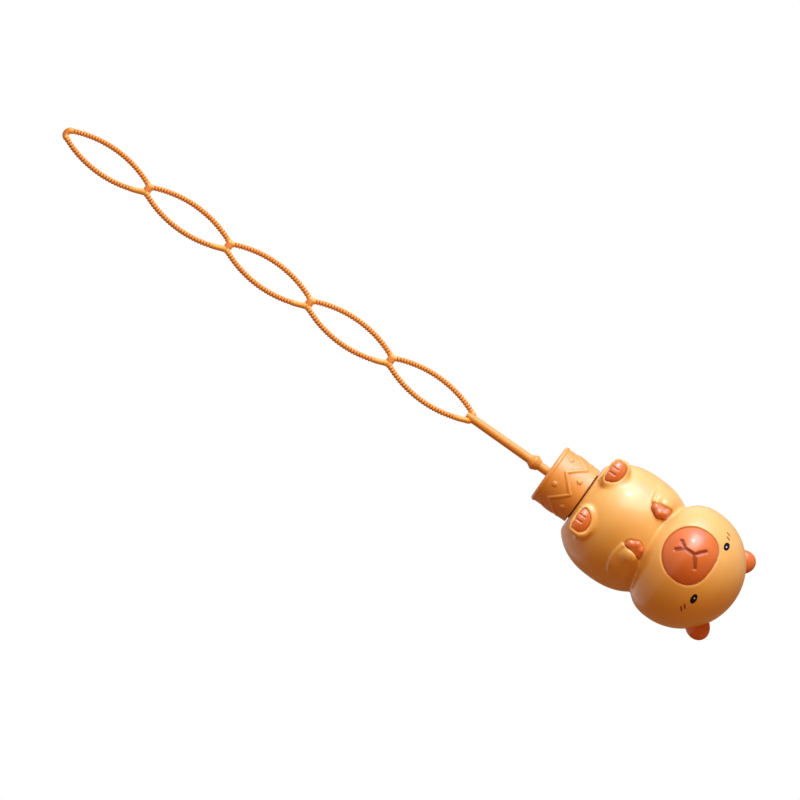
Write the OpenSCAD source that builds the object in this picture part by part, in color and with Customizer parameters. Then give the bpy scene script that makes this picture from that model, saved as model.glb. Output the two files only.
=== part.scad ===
// Bubble wand whose handle is a small sitting animal with a round body and a broad muzzle.
// The figure is upright: its head is up, its face looks toward -y and the wand hangs down.
// Zero is the centre of the collar's mouth, where a tube of bubble liquid screws in.
// Lengths are in millimetres.

/* [Collar] */
// outside diameter of the collar
collar_d = 22.8; // [22:0.2:24]
// height of the collar from its mouth to the seam under the figure
collar_height = 15.5; // [15:0.25:17]
// thickness of the collar's wall around the socket
collar_wall = 1.6; // [1.4:0.1:2]
// depth of the socket for the tube
socket_depth = 9.6; // [9:0.2:10]
// width of the bevel on the collar's edges
collar_bevel = 0.7; // [0.4:0.1:0.9]
// height of the bead around the collar's mouth
rim_bead = 0.3; // [0.1:0.05:0.4]
// rise of the thread over one turn
thread_pitch = 3.2; // [2.8:0.1:3.6]
// height of the thread's lugs above the socket wall
thread_height = 0.7; // [0.5:0.05:0.8]
// number of lugs that make up the interrupted thread
thread_lugs = 6; // [4:1:8]

/* [Collar pattern] */
// number of zigzag waves around the collar
zigzag_waves = 6; // [5:1:7]
// height of the zigzag's lower points above the mouth
zigzag_low = 5.3; // [5:0.1:5.6]
// height of the zigzag's upper points above the mouth
zigzag_high = 11.5; // [11:0.1:11.8]
// width of the zigzag line
zigzag_line = 1.1; // [0.9:0.1:1.4]
// height of the zigzag above the collar's wall
relief = 0.5; // [0.3:0.05:0.6]
// diameter of the round dots between the zigzag's points
dot_d = 2.3; // [2:0.1:2.6]
// turn of the first upper point away from the front
zigzag_turn = 20; // [0:5:55]

/* [Wand] */
// number of loops in a row
loops = 5; // [3:1:6]
// distance from one loop's end to the next
loop_pitch = 37; // [35:0.25:39]
// width of a loop between the middles of its rims
loop_width = 11; // [10.6:0.2:12.6]
// radius of a loop's rounded ends at the middle of the rim
loop_end_r = 1.8; // [1.7:0.1:2.2]
// thickness of a loop's rim
rim_d = 2.3; // [2.1:0.1:2.5]
// overlap of neighbouring loops where they join
loop_overlap = 0.6; // [0.5:0.1:1]
// extra thickness of the rim around a loop's ends
end_extra = 0.2; // [0.16:0.02:0.3]
// length of the stem outside the collar
stem_length = 34.8; // [32:0.4:40]
// diameter of the stem at the collar
stem_d = 3.5; // [3.3:0.1:3.8]
// diameter of the stem at the loops
stem_tip_d = 3.3; // [3:0.1:3.3]
// diameter of the stop ring on the stem
ring_d = 5.8; // [5.2:0.2:6.6]
// height of the stop ring
ring_height = 4.4; // [3.6:0.2:5]
// distance of the stop ring's top from the collar's mouth
ring_drop = 4.1; // [3.5:0.2:5]

/* [Body] */
// widest radius of the body
body_r = 22.5; // [22:0.1:23]
// reach of the body above and below its widest place
body_reach = 23; // [22.6:0.1:23.4]
// height of the body's widest place above the seam
body_rise = 19.6; // [19.2:0.1:20]
// squareness of the body's outline, 2 is an ellipse
body_power = 2.3; // [2.1:0.05:2.5]
// offset of the body toward the back
body_back = 2.5; // [1.5:0.1:3]
// thickness of the shell
wall = 1.8; // [1.6:0.1:2]

/* [Head] */
// half of the head's width
head_r = 23.4; // [23:0.1:24]
// half of the head's depth
head_depth = 24; // [23:0.1:24.4]
// height of the head's widest place above the seam
head_rise = 45.3; // [45:0.1:46]
// reach of the head above its widest place
head_up = 22.6; // [22:0.1:23.4]
// reach of the head below its widest place
head_down = 15.6; // [15.2:0.1:16]
// squareness of the head's lower outline, 2 is an ellipse
head_power = 2.5; // [2.3:0.05:2.6]
// offset of the head toward the face
head_forward = 2.8; // [2.4:0.1:3.4]

/* [Muzzle] */
// width of the muzzle pad
muzzle_width = 21.6; // [20.4:0.2:22.4]
// height of the muzzle pad
muzzle_height = 19.6; // [18.6:0.2:20.2]
// height of the pad's middle above the seam
muzzle_rise = 44.4; // [44:0.1:44.8]
// rise of the pad over the face
muzzle_bulge = 1.9; // [1.4:0.1:2.2]
// width of the grooves for nose and mouth
groove_d = 1.5; // [1.2:0.1:1.8]

/* [Ears, paws and soles] */
// distance of each ear from the middle
ear_side = 14.7; // [14.4:0.1:15]
// height of the ears above the seam
ear_rise = 62.1; // [61.8:0.1:62.4]
// width of an ear
ear_width = 9.2; // [8.8:0.1:9.4]
// distance of each wrist from the middle
wrist_side = 10.4; // [10.2:0.1:10.8]
// height of the arms above the seam
arm_rise = 26.3; // [25.8:0.1:26.8]
// diameter of the arm at the wrist
wrist_d = 8.2; // [7.8:0.1:8.6]
// slant of the wrist's flat end, wider at the top
wrist_slant = 11; // [6:1:14]
// distance of each foot from the middle
foot_side = 10.8; // [10.6:0.1:11.2]
// width of a sole
sole_width = 9.2; // [8.8:0.1:9.4]
// height of a sole
sole_height = 5.7; // [5.4:0.1:5.9]
// height of the sole's flat edge above the seam
sole_rise = 2.4; // [2.2:0.1:2.6]
// thickness of the ring around a sole
foot_ring = 1.7; // [1.5:0.1:1.8]
// depth of the sole's face in front of the axis
sole_front = 17; // [16.8:0.1:17.4]

/* [Fits] */
// gap between pieces that are pushed together
push_gap = 0.06; // [0.04:0.01:0.1]
// gap between the figure and the collar's turning neck
swivel_gap = 0.3; // [0.25:0.05:0.4]
// gap between the collar and the figure's underside
seam_gap = 0.4; // [0.3:0.05:0.5]
// gap around the coloured pads
pad_gap = 0.15; // [0.12:0.01:0.2]
// thickness of the seal washer
washer_height = 1.2; // [1:0.1:1.5]

/* [Hidden] */
eps = 0.01;
collar_r = collar_d / 2;
socket_r = collar_r - collar_wall;
boss_r = stem_d / 2 + 1.7;
boss_low = socket_depth - 3.2;
web_top = socket_depth + 2.2;
root_top = web_top + 1.6;
figure_low = collar_height + seam_gap;
lip_top = figure_low + wall + 0.3;
neck_r = 8;
flange_r = neck_r + 1.8;
flange_low = lip_top + swivel_gap;
flange_top = flange_low + 1.6;
body_mid = collar_height + body_rise;
head_mid = collar_height + head_rise;
loop_half = loop_pitch / 2 + loop_overlap / 2;
loop_side = loop_width / 2;
side_r = (pow(loop_half, 2) + pow(loop_side, 2) - 2 * loop_half * loop_end_r)
    / (2 * (loop_side - loop_end_r));
side_angle = atan((loop_half - loop_end_r) / (side_r - loop_side));
arm_z = collar_height + arm_rise;
chest = body_r - body_back;
paw_y = 2.8 - chest;
muzzle_z = collar_height + muzzle_rise;
muzzle_front = head_forward + head_depth + muzzle_bulge;
dome_depth = 0.75 * head_depth;
pad_root = 0.42 * head_depth;
past = 2 * (body_r + head_r);
sole_z = collar_height + sole_rise;
ear_z = collar_height + ear_rise;
stud_spots = [[15.8, body_mid - 3], [-15.8, body_mid - 3], [15.4, head_mid + 5], [-15.4, head_mid + 5]];
stud_r = 1.3;
skin_color = "#fbb75a";
trim_color = "#d7692f";
wand_color = "#e8924a";

// one point on a rounded outline that runs from its widest place to its tip
function arc_point(turn, radius, reach, power) =
    [radius * pow(cos(turn), 2 / power), reach * pow(sin(turn), 2 / power)];

// outline from the lower tip to the upper tip
function egg_outline(radius, down, up, power_down, power_up, steps) = concat(
    [for (i = [0 : steps - 1])
        let (p = arc_point(90 - i * 90 / steps, radius, down, power_down)) [p[0], -p[1]]],
    [for (i = [0 : steps]) arc_point(i * 90 / steps, radius, up, power_up)]);

// solid between two round ends
module rod(from, to, r) {
    hull() {
        translate(from) sphere(r, $fn = 20);
        translate(to) sphere(r, $fn = 20);
    }
}

// cylinder that points out of the face
module peg(at, r, length) {
    translate(at)
        rotate([90, 0, 0])
            cylinder(r = r, h = length, $fn = 24);
}

module body_form(inset, facets, steps) {
    translate([0, body_back, body_mid])
        rotate_extrude($fn = facets)
            polygon(egg_outline(body_r - inset, body_reach - inset, body_reach - inset,
                body_power, body_power, steps));
}

module head_form(inset, facets, steps) {
    translate([0, -head_forward, head_mid])
        scale([1, (head_depth - inset) / (head_r - inset), 1])
            rotate_extrude($fn = facets)
                polygon(egg_outline(head_r - inset, head_down - inset, head_up - inset,
                    head_power, 2, steps));
}

// flat outline of the muzzle pad, wider toward the eyes
module muzzle_outline(extra) {
    rotate([90, 0, 0])
        linear_extrude(height = past)
            polygon([for (a = [0 : 9 : 351])
                [(muzzle_width / 2 + extra) * sign(cos(a)) * pow(abs(cos(a)), 0.86) * (1 + 0.05 * sin(a)),
                 (muzzle_height / 2 + extra) * sign(sin(a)) * pow(abs(sin(a)), 0.86)]]);
}

// flat outline of a sole, nearly straight along its lower edge
module sole_outline(extra, length) {
    low = 1.3;
    high = sole_height - low;
    rotate([90, 0, 0])
        linear_extrude(height = length)
            polygon([for (a = [0 : 9 : 351])
                [(sole_width / 2 + extra) * sign(cos(a)) * pow(abs(cos(a)), 0.8),
                 low + (sin(a) > 0 ? (high + extra) * pow(sin(a), 0.95)
                     : -(low + extra) * pow(-sin(a), 0.5))]]);
}

// rounded block that carries one sole and narrows toward the body
module foot(side) {
    hull()
        for (s = [-1, 1], upper = [0, 1]) {
            r = (upper ? 2.4 : 1.2) + foot_ring;
            rise = upper ? sole_height - 2.4 : 1.2;
            translate([side * foot_side + s * (sole_width / 2 - (upper ? 2.4 : 1.2)), 0.8 - sole_front,
                sole_z + rise])
                rotate([90, 0, 0]) {
                    cylinder(r1 = r, r2 = r - 0.7, h = 0.8, $fn = 24);
                    translate([-s * 1.2, 1, -7]) cylinder(r = r - 0.4, h = 1, $fn = 24);
                }
        }
}

// arm that lies across the chest and ends flat at the wrist
module arm(side) {
    difference() {
        hull() {
            translate([side * wrist_side, 0.54 * wrist_d - chest, arm_z]) sphere(wrist_d / 2, $fn = 28);
            translate([side * 0.71 * body_r, -0.3 * chest, arm_z + 1]) sphere(wrist_d / 2 + 0.1, $fn = 28);
        }
        wrist_cut(side, -1, 0);
    }
}

// block with one slanted face at the wrist, on the hand's side or on the arm's side
module wrist_cut(side, way, gap) {
    translate([side * (wrist_side - gap), -chest, arm_z])
        rotate([0, side * wrist_slant, 0])
            translate([side * way * chest / 2, 0, 0]) cube([chest, 2 * chest, 2 * chest], center = true);
}

// whole outside of the figure
module figure_skin() {
    difference() {
        union() {
            body_form(0, 60, 11);
            head_form(0, 60, 11);
            for (side = [-1, 1]) {
                arm(side);
                foot(side);
            }
        }
        translate([0, 0, figure_low - past / 2]) cube(past, center = true);
    }
}

// hollow inside of the figure, closed below by the lip around the neck
module figure_hollow() {
    difference() {
        union() {
            body_form(wall, 40, 8);
            head_form(wall, 40, 8);
        }
        translate([0, 0, lip_top - past / 2]) cube(past, center = true);
    }
}

// lobe of one ear with its root inside the head
module ear_lobe(side, extra) {
    translate([side * ear_side, 1.5, ear_z])
        rotate([0, side * 38, 0])
            scale([ear_width / 2 + extra, 3.2 + extra, 5.4 + extra])
                sphere(1, $fn = 32);
}

module collar() {
    color(wand_color) {
        rotate_extrude($fn = 96)
            polygon([
                [stem_d / 2 + push_gap, boss_low], [boss_r, boss_low], [boss_r, socket_depth],
                [socket_r, socket_depth], [socket_r, collar_bevel], [socket_r + collar_bevel * 0.6, 0],
                [collar_r + rim_bead - collar_bevel, 0], [collar_r + rim_bead, collar_bevel],
                [collar_r + rim_bead, 2 * collar_bevel], [collar_r, 2 * collar_bevel + rim_bead],
                [collar_r, collar_height - collar_bevel / 2], [collar_r - collar_bevel / 2, collar_height],
                [neck_r, collar_height], [neck_r, flange_low], [flange_r, flange_low],
                [flange_r, flange_low + 0.8], [flange_r - 0.8, flange_top], [neck_r - 1.8, flange_top],
                [neck_r - 1.8, web_top], [boss_r, web_top], [boss_r, root_top],
                [stem_d / 2 + push_gap, root_top]]);
        zigzag();
        for (i = [0 : zigzag_waves - 1])
            for (upper = [0, 1])
                rotate([0, 0, zigzag_turn - 90 + (i + upper / 2) * 360 / zigzag_waves])
                    translate([collar_r - 0.9, 0, upper ? zigzag_high + 0.2 : zigzag_low - 1])
                        sphere(sqrt(pow(dot_d / 2, 2) + 0.81), $fn = 32);
        for (i = [0 : thread_lugs - 1])
            rotate([0, 0, i * 360 / thread_lugs])
                translate([0, 0, 2 + i * thread_pitch / thread_lugs])
                    rotate_extrude(angle = 216 / thread_lugs, $fn = 96)
                        polygon([[socket_r + 0.3, -0.2], [socket_r - thread_height, 0.6],
                            [socket_r - thread_height, 1.1], [socket_r + 0.3, 1.9]]);
    }
}

// raised line that runs up and down around the collar
module zigzag() {
    turn = 180 / zigzag_waves;
    across = 2 * (collar_r + relief) * tan(turn / 2);
    rise = zigzag_high - zigzag_low;
    lean = atan2(rise, across);
    intersection() {
        union()
            for (i = [0 : 2 * zigzag_waves - 1])
                rotate([0, 0, zigzag_turn - 90 + (i + 0.5) * turn])
                    translate([collar_r, 0, (zigzag_high + zigzag_low) / 2])
                        rotate([(i % 2 ? 1 : -1) * lean, 0, 0])
                            cube([2.4, norm([across, rise]) + zigzag_line * 0.6, zigzag_line], center = true);
        difference() {
            cylinder(r = collar_r + relief, h = collar_height, $fn = 96);
            translate([0, 0, -1]) cylinder(r = collar_r - 0.6, h = collar_height + 2, $fn = 96);
        }
    }
}

module wand() {
    color(wand_color) {
        rotate_extrude($fn = 48)
            polygon([[0, -stem_length - 2.2], [rim_d / 2, -stem_length - 2.2], [stem_tip_d / 2, -stem_length],
                [stem_d / 2, -ring_drop - ring_height], [ring_d / 2, -ring_drop - ring_height * 0.58],
                [ring_d / 2, -ring_drop - ring_height * 0.42], [stem_d / 2 + 0.3, -ring_drop],
                [stem_d / 2, -ring_drop], [stem_d / 2, root_top], [0, root_top]]);
        for (i = [0 : loops - 1])
            translate([0, 0, -stem_length - (i + 0.5) * loop_pitch])
                wand_loop();
    }
}

// oval loop made of four round arcs
module wand_loop() {
    rotate([90, 0, 0]) {
        for (s = [0, 180])
            rotate([0, 0, s]) {
                translate([loop_side - side_r, 0, 0])
                    rotate([0, 0, -side_angle])
                        rotate_extrude(angle = 2 * side_angle, $fn = 200)
                            translate([side_r, 0]) circle(d = rim_d, $fn = 16);
                translate([0, loop_half - loop_end_r, 0])
                    rotate([0, 0, side_angle - 5])
                        rotate_extrude(angle = 190 - 2 * side_angle, $fn = 64)
                            translate([loop_end_r, 0]) circle(d = rim_d + end_extra, $fn = 16);
            }
    }
}

module seal_washer() {
    color("#c9c4b8") translate([0, 0, socket_depth - washer_height])
        difference() {
            cylinder(r = socket_r - thread_height - 0.2, h = washer_height, $fn = 72);
            translate([0, 0, -1]) cylinder(r = boss_r + 0.4, h = washer_height + 2, $fn = 48);
        }
}

// openings for the pads and the neck, cut through both shells
module shell_openings() {
    translate([0, 0, figure_low - wall]) cylinder(r = neck_r + swivel_gap, h = 4 * wall, $fn = 72);
    intersection() {
        translate([0, -pad_root, muzzle_z]) muzzle_outline(pad_gap);
        translate([0, -pad_root - past / 2, muzzle_z]) cube(past, center = true);
    }
    for (side = [-1, 1]) {
        ear_lobe(side, pad_gap);
        translate([side * foot_side, 1.6 - sole_front, sole_z]) sole_outline(pad_gap, 8);
        peg([side * foot_side, -8, sole_z + sole_height / 2], 1.1 + push_gap, 8);
        translate([side * (wrist_side - 1), paw_y, arm_z])
            rotate([0, side * 90, 0]) cylinder(r = 0.9 + push_gap, h = 4.6, $fn = 20);
    }
}

module front_shell() {
    color(skin_color) difference() {
        union() {
            intersection() {
                difference() {
                    figure_skin();
                    figure_hollow();
                }
                translate([0, -50.05, 50]) cube([100, 100, 120], center = true);
            }
            intersection() {
                for (p = stud_spots)
                    peg([p[0], -0.05, p[1]], stud_r + 1.3, 30);
                union() {
                    body_form(wall / 2, 32, 6);
                    head_form(wall / 2, 32, 6);
                }
            }
        }
        shell_openings();
        for (p = stud_spots)
            peg([p[0], 1, p[1]], stud_r + push_gap, 6);
    }
}

module back_shell() {
    color(skin_color) difference() {
        union() {
            intersection() {
                difference() {
                    figure_skin();
                    figure_hollow();
                }
                translate([0, 50.05, 50]) cube([100, 100, 120], center = true);
            }
            intersection() {
                for (p = stud_spots)
                    peg([p[0], 30.05, p[1]], stud_r + 1.3, 30);
                union() {
                    body_form(wall / 2, 32, 6);
                    head_form(wall / 2, 32, 6);
                }
            }
            for (p = stud_spots)
                peg([p[0], 1, p[1]], stud_r, 5.5);
        }
        shell_openings();
    }
}

module muzzle() {
    nose_z = muzzle_z + 1;
    color(trim_color) difference() {
        union() {
            intersection() {
                translate([0, -pad_root, muzzle_z]) muzzle_outline(0);
                translate([0, dome_depth - muzzle_front, muzzle_z + 1])
                    scale([muzzle_width * 0.74, dome_depth, muzzle_height * 0.74])
                        sphere(1, $fn = 64);
            }
            intersection() {
                translate([0, -pad_root, muzzle_z]) muzzle_outline(1.3);
                head_form(wall + 0.1, 40, 8);
            }
        }
        head_form(wall + 1.5, 40, 8);
        for (s = [-1, 1]) {
            groove([0, nose_z], [s * 4.3, nose_z + 3.8]);
            groove([0, nose_z - 4.2], [s * 2.9, nose_z - 7]);
        }
        groove([0, nose_z], [0, nose_z - 4.2]);
    }
}

// round-bottomed groove across the muzzle's face
module groove(from, to) {
    hull()
        for (p = [from, to])
            translate([p[0], 0.032 * (pow(p[0], 2) + pow(p[1] - muzzle_z - 1, 2)) - muzzle_front, p[1]])
                sphere(groove_d / 2, $fn = 20);
}

module ear(side) {
    color(trim_color) difference() {
        ear_lobe(side, 0);
        translate([side * (ear_side - 4), 0, ear_z - 5])
            rotate([0, side * 38, 0])
                cube([30, 20, 4], center = true);
    }
}

module paw(side) {
    root = side * (wrist_side + 0.6);
    color(trim_color) {
        difference() {
            union() {
                for (i = [-1 : 1]) {
                    reach = abs(i) * 0.9;
                    knuckle = [side * (wrist_side - 1.8), paw_y - 0.9, arm_z + i * 2.4];
                    tip = [side * (wrist_side - 3.2 + reach), paw_y - 1.7 + reach / 2, arm_z + i * 2];
                    rod([root, paw_y + 0.6, arm_z + i * 2.5], knuckle, 1.9);
                    rod(knuckle, tip, 1.7);
                }
                rod([root, paw_y + 0.8, arm_z - 2], [root, paw_y + 0.8, arm_z + 2], 1.9);
                rod([side * (wrist_side - 1.4), paw_y - 0.2, arm_z - 1.6],
                    [side * (wrist_side - 1.4), paw_y - 0.2, arm_z + 1.6], 1.8);
            }
            wrist_cut(side, 1, pad_gap);
            body_form(-pad_gap, 60, 11);
        }
        translate([side * (wrist_side - 1), paw_y, arm_z])
            rotate([0, side * 90, 0]) cylinder(r = 0.9, h = 4.2, $fn = 20);
    }
}

module sole(side) {
    color(trim_color) translate([side * foot_side, 0, sole_z]) {
        difference() {
            intersection() {
                translate([0, 1.55 - sole_front, 0]) sole_outline(0, 4);
                translate([0, 4.2 - sole_front, sole_height * 0.4])
                    scale([sole_width * 0.72, 5, sole_height * 0.84])
                        sphere(1, $fn = 48);
            }
            for (i = [-1, 1])
                translate([i * sole_width * 0.16, -0.9 - sole_front, sole_height * 0.08])
                    cylinder(r = 0.5, h = sole_height * 0.42, $fn = 24);
        }
        peg([0, 4.6 - sole_front, sole_height / 2], 1.1, 4.2);
    }
}

module left_ear() {
    ear(1);
}

module right_ear() {
    ear(-1);
}

module left_paw() {
    paw(1);
}

module right_paw() {
    paw(-1);
}

module left_sole() {
    sole(1);
}

module right_sole() {
    sole(-1);
}

collar();
wand();
seal_washer();
front_shell();
back_shell();
muzzle();
left_ear();
right_ear();
left_paw();
right_paw();
left_sole();
right_sole();
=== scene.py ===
import math

import bpy
import numpy as np
from mathutils import Matrix, Vector


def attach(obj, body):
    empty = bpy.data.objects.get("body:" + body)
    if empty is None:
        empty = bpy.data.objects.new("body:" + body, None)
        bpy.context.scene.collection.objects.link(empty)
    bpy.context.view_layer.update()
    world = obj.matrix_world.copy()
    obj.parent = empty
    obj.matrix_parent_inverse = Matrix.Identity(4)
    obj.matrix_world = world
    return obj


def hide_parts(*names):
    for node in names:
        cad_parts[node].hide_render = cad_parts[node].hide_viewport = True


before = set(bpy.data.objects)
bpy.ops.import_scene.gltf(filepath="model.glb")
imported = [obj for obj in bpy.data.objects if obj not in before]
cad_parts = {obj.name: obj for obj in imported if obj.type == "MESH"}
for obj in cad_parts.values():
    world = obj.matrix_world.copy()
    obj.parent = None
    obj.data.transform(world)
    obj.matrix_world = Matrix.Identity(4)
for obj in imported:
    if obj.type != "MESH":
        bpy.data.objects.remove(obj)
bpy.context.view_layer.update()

# Shapes are worked out in millimetres and stored in metres.
# Up is the figure's head, -y its face, and the wand hangs down from the collar.


def easeStep(low, high, value):  # 0 below low, 1 above high, a cubic ease in between
    part = np.clip((value - low) / (high - low), 0, 1)
    return part * part * (3 - 2 * part)


def softMin(a, b, width):  # the smaller of two distances, with a fillet where they are nearly equal
    near = np.maximum(width - np.abs(a - b), 0) / width
    return np.minimum(a, b) - near * near * width / 4


def softMax(a, b, width):
    return -softMin(-a, -b, width)


def eggDistance(points, centre, half, down, up, powerDown, powerUp, droop=0.0):
    # how far a point lies outside a rounded form, measured toward its centre:
    # |p| (1 - 1/q), where q is the superellipse sum of side and height, each over its own reach;
    # the lower reach grows by droop toward the front
    offset = points - np.asarray(centre, float)
    ahead = np.clip(-offset[..., 1] / np.maximum(np.hypot(offset[..., 0], offset[..., 1]), 1e-6), 0, 1)
    down = down + droop * ahead ** 2
    side = np.hypot(offset[..., 0] / half[0], offset[..., 1] / half[1])
    above = offset[..., 2] > 0
    power = np.where(above, powerUp, powerDown)
    rise = np.abs(offset[..., 2]) / np.where(above, up, down)
    reach = (side ** power + rise ** power) ** (1 / power)
    return np.linalg.norm(offset, axis=-1) * (1 - 1 / np.maximum(reach, 1e-6))


def barDistance(points, start, end, thickStart, thickEnd):  # distance outside a round bar that tapers
    start, end = np.asarray(start, float), np.asarray(end, float)
    run = end - start
    part = np.clip(((points - start) @ run) / (run @ run), 0, 1)
    thick = thickStart + (thickEnd - thickStart) * part
    return np.linalg.norm(points - start - part[..., None] * run, axis=-1) - thick


def strokeDistance(x, z, start, end):  # flat distance from a straight stroke
    run = np.subtract(end, start)
    part = np.clip(((x - start[0]) * run[0] + (z - start[1]) * run[1]) / (run @ run), 0, 1)
    return np.hypot(x - start[0] - part * run[0], z - start[1] - part * run[1])


def gridPart(points, inside=(0, 0, 0), wrapColumns=False, wrapRows=False, poles=(False, False), paintedShadeAndTint=None):
    # four-sided faces between the rows and columns of an array of points, turned outward:
    # the sum of place times facing is the volume, which is positive when the faces look out
    rows, columns = points.shape[:2]
    ids = np.arange(rows * columns).reshape(rows, columns)
    if poles[0]:
        ids[0] = ids[0, 0]
    if poles[1]:
        ids[-1] = ids[-1, 0]
    if wrapColumns:
        ids = np.concatenate([ids, ids[:, :1]], 1)
    if wrapRows:
        ids = np.concatenate([ids, ids[:1]], 0)
    faces = np.stack([ids[:-1, :-1], ids[:-1, 1:], ids[1:, 1:], ids[1:, :-1]], -1).reshape(-1, 4)
    used, faces = np.unique(faces, return_inverse=True)
    faces = faces.reshape(-1, 4)
    places = points.reshape(-1, 3)[used]
    corners = places[faces]
    facing = np.cross(corners[:, 2] - corners[:, 0], corners[:, 3] - corners[:, 1])
    if ((corners.mean(1) - np.asarray(inside, float)) * facing).sum() < 0:
        faces = faces[:, ::-1]
    marks = np.broadcast_to(0.0 if paintedShadeAndTint is None else paintedShadeAndTint, (rows, columns)).ravel()[used]
    return places, faces, marks


def makePiece(name, parts, body, material, replaced=()):
    # one mesh from several grids, with the painted shade and tint mark kept on its points
    starts = np.cumsum([0] + [len(part[0]) for part in parts[:-1]])
    places = np.concatenate([part[0] for part in parts]) * 0.001
    faces = np.concatenate([part[1] + start for part, start in zip(parts, starts)])
    marks = np.concatenate([part[2] for part in parts])
    keep = faces != np.roll(faces, 1, 1)  # a face at a pole has three corners
    counts = keep.sum(1)
    mesh = bpy.data.meshes.new(name)
    mesh.vertices.add(len(places))
    mesh.vertices.foreach_set("co", places.astype(np.float32).ravel())
    mesh.loops.add(int(counts.sum()))
    mesh.loops.foreach_set("vertex_index", faces[keep].astype(np.int32))
    mesh.polygons.add(len(counts))
    mesh.polygons.foreach_set("loop_start", (np.cumsum(counts) - counts).astype(np.int32))
    mesh.polygons.foreach_set("use_smooth", np.ones(len(counts), bool))
    mesh.update(calc_edges=True)
    mesh.validate()
    mesh.attributes.new("paintedShadeAndTint", "FLOAT", "POINT").data.foreach_set("value", marks.astype(np.float32))
    mesh.materials.append(material)
    piece = bpy.data.objects.new(name, mesh)
    bpy.context.scene.collection.objects.link(piece)
    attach(piece, body)
    if replaced:
        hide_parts(*replaced)
    print(name, len(mesh.vertices), "points", int((counts - 2).sum()), "triangles")
    return piece


def roundLine(corners):
    # line through corners (radius, height, rounding, spacing of the stretch that follows),
    # with a small curve in place of each sharp corner
    spots = np.array([[c[0], c[1]] for c in corners], float)
    line = []
    count = len(corners)
    for i in range(count):
        before, here, after = spots[i - 1], spots[i], spots[(i + 1) % count]
        back, ahead = before - here, after - here
        take = min(corners[i][2], 0.45 * np.linalg.norm(back), 0.45 * np.linalg.norm(ahead))
        first = here + back / np.linalg.norm(back) * take
        last = here + ahead / np.linalg.norm(ahead) * take
        t = np.linspace(0, 1, 6)[:, None]
        line.append((1 - t) ** 2 * first + 2 * t * (1 - t) * here + t * t * last)
    pieces = []
    for i in range(count):
        pieces.append(line[i])
        gap = line[(i + 1) % count][0] - line[i][-1]
        run = np.linalg.norm(gap)
        steps = max(1, int(np.ceil(run / corners[i][3])))
        inner = np.linspace(0, 1, steps + 1)[1:-1]
        close = min(0.3, 0.08 / max(run, 0.1))  # one more point just after a curve and just before the next
        rest = np.unique(np.concatenate([inner, [close, 1 - close]]))
        pieces.append(line[i][-1] + rest[:, None] * gap)
    return np.concatenate(pieces)


def padPart(centre, outline, front, edge, drop, depth, turns=160, rings=60, groove=None):
    # solid pad: rings of the outline shrink to its middle, the face follows front(x, z),
    # its rim rolls back over the width edge by drop, and a plain back closes it depth further in
    turn = np.linspace(0, 2 * np.pi, turns, endpoint=False)
    side, rise = outline(turn)
    share = 1 - (1 - np.linspace(0, 1, rings)) ** 1.35
    x = centre[0] + share[:, None] * side
    z = centre[1] + share[:, None] * rise
    inward = (1 - share[:, None]) * np.hypot(side, rise)
    roll = drop * (1 - np.sqrt(np.clip(1 - np.clip(1 - inward / edge, 0, 1) ** 2, 0, 1)))
    y = front(x, z) + roll
    # painted shade on the rim where it rolls back into the gap
    paintedShadeAndTint = 0.85 * easeStep(0.45, 1, roll / drop) if drop > 0.1 else np.zeros_like(roll)
    if groove is not None:
        sunk, shade = groove(x, z)
        y, paintedShadeAndTint = y + sunk, np.maximum(paintedShadeAndTint, shade)
    face = np.stack([x, y, z], -1)
    wall = face[-1] + np.array([0, 1, 0]) * (depth * np.linspace(0.2, 1, 4))[:, None, None]
    back = wall[-1] + (np.array([centre[0], 0, centre[1]]) - wall[-1]) * np.array([1, 0, 1]) \
        * np.linspace(0.1, 1, 6)[:, None, None]
    level = back[..., 1].mean(1, keepdims=True)
    back[..., 1] = back[..., 1] + (level - back[..., 1]) * np.linspace(0.1, 1, 6)[:, None]
    points = np.concatenate([face, wall, back])
    # the sunk wall is marked fully for painted shade
    marks = np.concatenate([paintedShadeAndTint, np.ones((4, turns)), np.zeros((6, turns))])
    inside = (centre[0], float(face[0, 0, 1] + depth / 2), centre[1])
    return gridPart(points, inside, wrapColumns=True, poles=(True, True), paintedShadeAndTint=marks)


def plainGroup(name, inputs, outputs):
    group = bpy.data.node_groups.new(name, "ShaderNodeTree")
    for label, kind, value in inputs:
        socket = group.interface.new_socket(name=label, in_out="INPUT", socket_type=kind)
        socket.default_value = value
    for label, kind in outputs:
        group.interface.new_socket(name=label, in_out="OUTPUT", socket_type=kind)
    return group, group.nodes.new("NodeGroupInput"), group.nodes.new("NodeGroupOutput")


def addNode(tree, kind, settings=None, **values):
    node = tree.nodes.new(kind)
    for key, value in (settings or {}).items():
        setattr(node, key, value)
    for key, value in values.items():
        node.inputs[key.replace("_", " ")].default_value = value
    return node


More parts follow.
